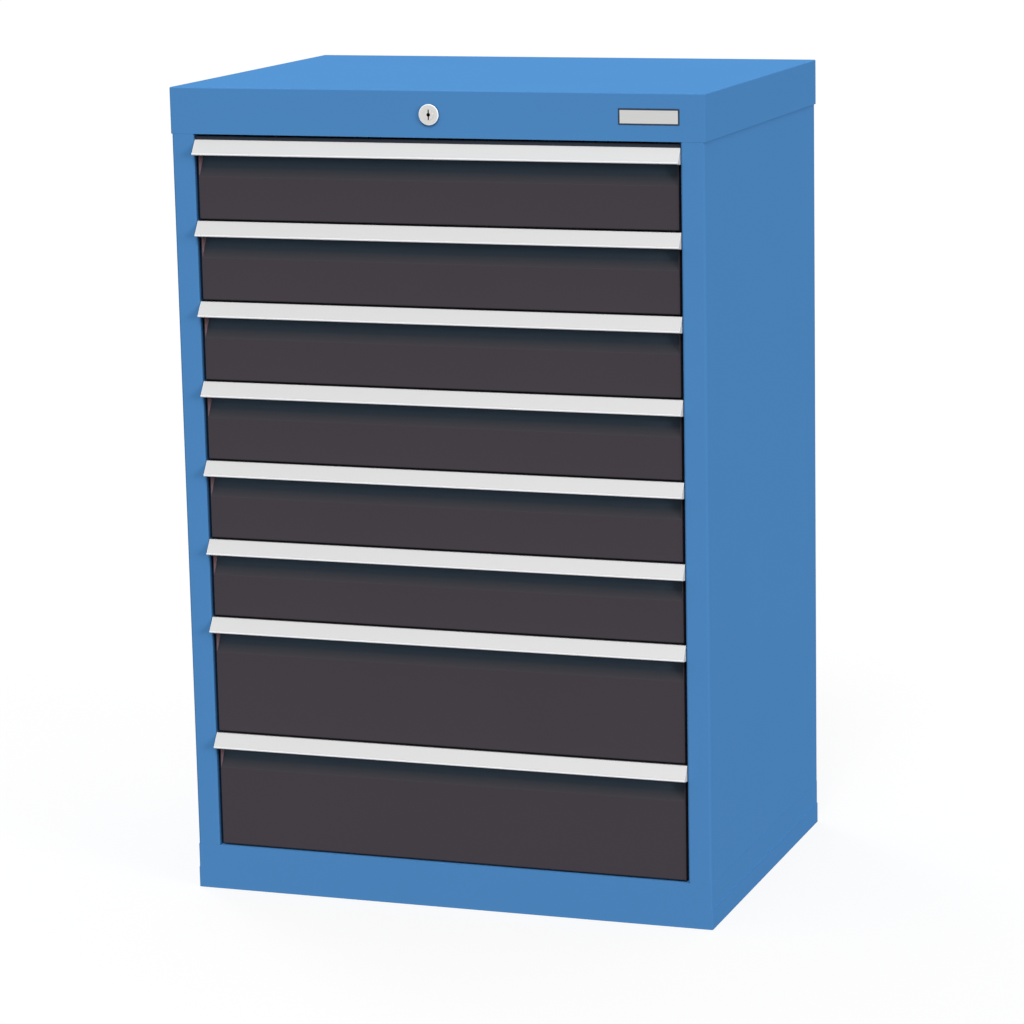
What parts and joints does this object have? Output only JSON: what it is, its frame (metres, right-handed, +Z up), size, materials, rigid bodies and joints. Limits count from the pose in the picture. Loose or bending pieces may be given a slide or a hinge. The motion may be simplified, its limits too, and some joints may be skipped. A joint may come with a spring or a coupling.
{
  "type": "drawer cabinet",
  "caption": "Upright sheet-steel workshop cabinet with full-width drawers on telescopic slides, recessed fronts under slanted handle strips, and a central cylinder lock.",
  "frame": {"origin": "on the floor, at the middle of the outline that takes in the handle lips", "axes": "+Z up, the drawer fronts face -Y, +X to the right of a user who stands in front"},
  "size_m": [0.684, 0.51, 1.019],
  "materials": {
    "body_blue": "light-blue powder coat, satin, with a fine texture",
    "front_anthracite": "anthracite powder coat, satin",
    "tray_grey": "light-grey powder coat, satin",
    "handle_aluminium": "matt anodised extrusion",
    "bare_aluminium": "brushed",
    "zinc_steel": "bright zinc plating",
    "lock_nickel": "satin nickel plating"
  },
  "bodies": {
    "housing": {"top_cover": "body_blue", "right_side_panel": "body_blue", "left_side_panel": "body_blue", "back_panel": "body_blue", "base_frame": "body_blue", "bottom_panel": "body_blue", "top_front_rail": "body_blue", "right_posts": "body_blue", "left_posts": "body_blue", "right_cabinet_rails": "zinc_steel", "left_cabinet_rails": "zinc_steel", "back_rivets": "bare_aluminium", "name_plate": "bare_aluminium", "lock_housing": "lock_nickel", "lock_nut": "lock_nickel", "lock_bar_guides": "zinc_steel"},
    "lock": {"lock_core": "lock_nickel", "lock_cam": "zinc_steel"},
    "lock_slider": {"lock_slider": "zinc_steel"},
    "lock_bar": {"lock_bar": "zinc_steel"},
    "drawer_1": {"drawer_1_tray": "tray_grey", "drawer_1_front": "front_anthracite", "drawer_1_handle": "handle_aluminium", "drawer_1_runners": "zinc_steel"},
    "drawer_1_middle": {"drawer_1_middle_slides": "zinc_steel"},
    "drawer_2": {"drawer_2_tray": "tray_grey", "drawer_2_front": "front_anthracite", "drawer_2_handle": "handle_aluminium", "drawer_2_runners": "zinc_steel"},
    "drawer_2_middle": {"drawer_2_middle_slides": "zinc_steel"},
    "drawer_3": {"drawer_3_tray": "tray_grey", "drawer_3_front": "front_anthracite", "drawer_3_handle": "handle_aluminium", "drawer_3_runners": "zinc_steel"},
    "drawer_3_middle": {"drawer_3_middle_slides": "zinc_steel"},
    "drawer_4": {"drawer_4_tray": "tray_grey", "drawer_4_front": "front_anthracite", "drawer_4_handle": "handle_aluminium", "drawer_4_runners": "zinc_steel"},
    "drawer_4_middle": {"drawer_4_middle_slides": "zinc_steel"},
    "drawer_5": {"drawer_5_tray": "tray_grey", "drawer_5_front": "front_anthracite", "drawer_5_handle": "handle_aluminium", "drawer_5_runners": "zinc_steel"},
    "drawer_5_middle": {"drawer_5_middle_slides": "zinc_steel"},
    "drawer_6": {"drawer_6_tray": "tray_grey", "drawer_6_front": "front_anthracite", "drawer_6_handle": "handle_aluminium", "drawer_6_runners": "zinc_steel"},
    "drawer_6_middle": {"drawer_6_middle_slides": "zinc_steel"},
    "drawer_7": {"drawer_7_tray": "tray_grey", "drawer_7_front": "front_anthracite", "drawer_7_handle": "handle_aluminium", "drawer_7_runners": "zinc_steel"},
    "drawer_7_middle": {"drawer_7_middle_slides": "zinc_steel"},
    "drawer_8": {"drawer_8_tray": "tray_grey", "drawer_8_front": "front_anthracite", "drawer_8_handle": "handle_aluminium", "drawer_8_runners": "zinc_steel"},
    "drawer_8_middle": {"drawer_8_middle_slides": "zinc_steel"}
  },
  "joints": [
    {"name": "lock_turn", "type": "hinge", "parent": "housing", "child": "lock", "pos_m": [-0.0024, -0.245, 0.99], "axis": [0, 1, 0], "range_deg": [0, 90]},
    {"name": "lock_slider_slide", "type": "slide", "parent": "housing", "child": "lock_slider", "axis": [-1, 0, 0], "range_m": [0, 0.0114]},
    {"name": "lock_bar_slide", "type": "slide", "parent": "housing", "child": "lock_bar", "axis": [0, 0, 1], "range_m": [0, 0.00566]},
    {"name": "drawer_1_slide", "type": "slide", "parent": "housing", "child": "drawer_1", "axis": [0, -1, 0], "range_m": [0, 0.4]},
    {"name": "drawer_1_middle_slide", "type": "slide", "parent": "housing", "child": "drawer_1_middle", "axis": [0, -1, 0], "range_m": [0, 0.2]},
    {"name": "drawer_2_slide", "type": "slide", "parent": "housing", "child": "drawer_2", "axis": [0, -1, 0], "range_m": [0, 0.4]},
    {"name": "drawer_2_middle_slide", "type": "slide", "parent": "housing", "child": "drawer_2_middle", "axis": [0, -1, 0], "range_m": [0, 0.2]},
    {"name": "drawer_3_slide", "type": "slide", "parent": "housing", "child": "drawer_3", "axis": [0, -1, 0], "range_m": [0, 0.4]},
    {"name": "drawer_3_middle_slide", "type": "slide", "parent": "housing", "child": "drawer_3_middle", "axis": [0, -1, 0], "range_m": [0, 0.2]},
    {"name": "drawer_4_slide", "type": "slide", "parent": "housing", "child": "drawer_4", "axis": [0, -1, 0], "range_m": [0, 0.4]},
    {"name": "drawer_4_middle_slide", "type": "slide", "parent": "housing", "child": "drawer_4_middle", "axis": [0, -1, 0], "range_m": [0, 0.2]},
    {"name": "drawer_5_slide", "type": "slide", "parent": "housing", "child": "drawer_5", "axis": [0, -1, 0], "range_m": [0, 0.4]},
    {"name": "drawer_5_middle_slide", "type": "slide", "parent": "housing", "child": "drawer_5_middle", "axis": [0, -1, 0], "range_m": [0, 0.2]},
    {"name": "drawer_6_slide", "type": "slide", "parent": "housing", "child": "drawer_6", "axis": [0, -1, 0], "range_m": [0, 0.4]},
    {"name": "drawer_6_middle_slide", "type": "slide", "parent": "housing", "child": "drawer_6_middle", "axis": [0, -1, 0], "range_m": [0, 0.2]},
    {"name": "drawer_7_slide", "type": "slide", "parent": "housing", "child": "drawer_7", "axis": [0, -1, 0], "range_m": [0, 0.4]},
    {"name": "drawer_7_middle_slide", "type": "slide", "parent": "housing", "child": "drawer_7_middle", "axis": [0, -1, 0], "range_m": [0, 0.2]},
    {"name": "drawer_8_slide", "type": "slide", "parent": "housing", "child": "drawer_8", "axis": [0, -1, 0], "range_m": [0, 0.4]},
    {"name": "drawer_8_middle_slide", "type": "slide", "parent": "housing", "child": "drawer_8_middle", "axis": [0, -1, 0], "range_m": [0, 0.2]}
  ],
  "couplings": [
    {"joint": "lock_slider_slide", "follows": "lock_bar_slide", "ratio": 2},
    {"joint": "lock_turn", "follows": "lock_bar_slide", "rad_per_m": 277.68},
    {"joint": "drawer_1_middle_slide", "follows": "drawer_1_slide", "ratio": 0.5},
    {"joint": "drawer_2_middle_slide", "follows": "drawer_2_slide", "ratio": 0.5},
    {"joint": "drawer_3_middle_slide", "follows": "drawer_3_slide", "ratio": 0.5},
    {"joint": "drawer_4_middle_slide", "follows": "drawer_4_slide", "ratio": 0.5},
    {"joint": "drawer_5_middle_slide", "follows": "drawer_5_slide", "ratio": 0.5},
    {"joint": "drawer_6_middle_slide", "follows": "drawer_6_slide", "ratio": 0.5},
    {"joint": "drawer_7_middle_slide", "follows": "drawer_7_slide", "ratio": 0.5},
    {"joint": "drawer_8_middle_slide", "follows": "drawer_8_slide", "ratio": 0.5}
  ]
}
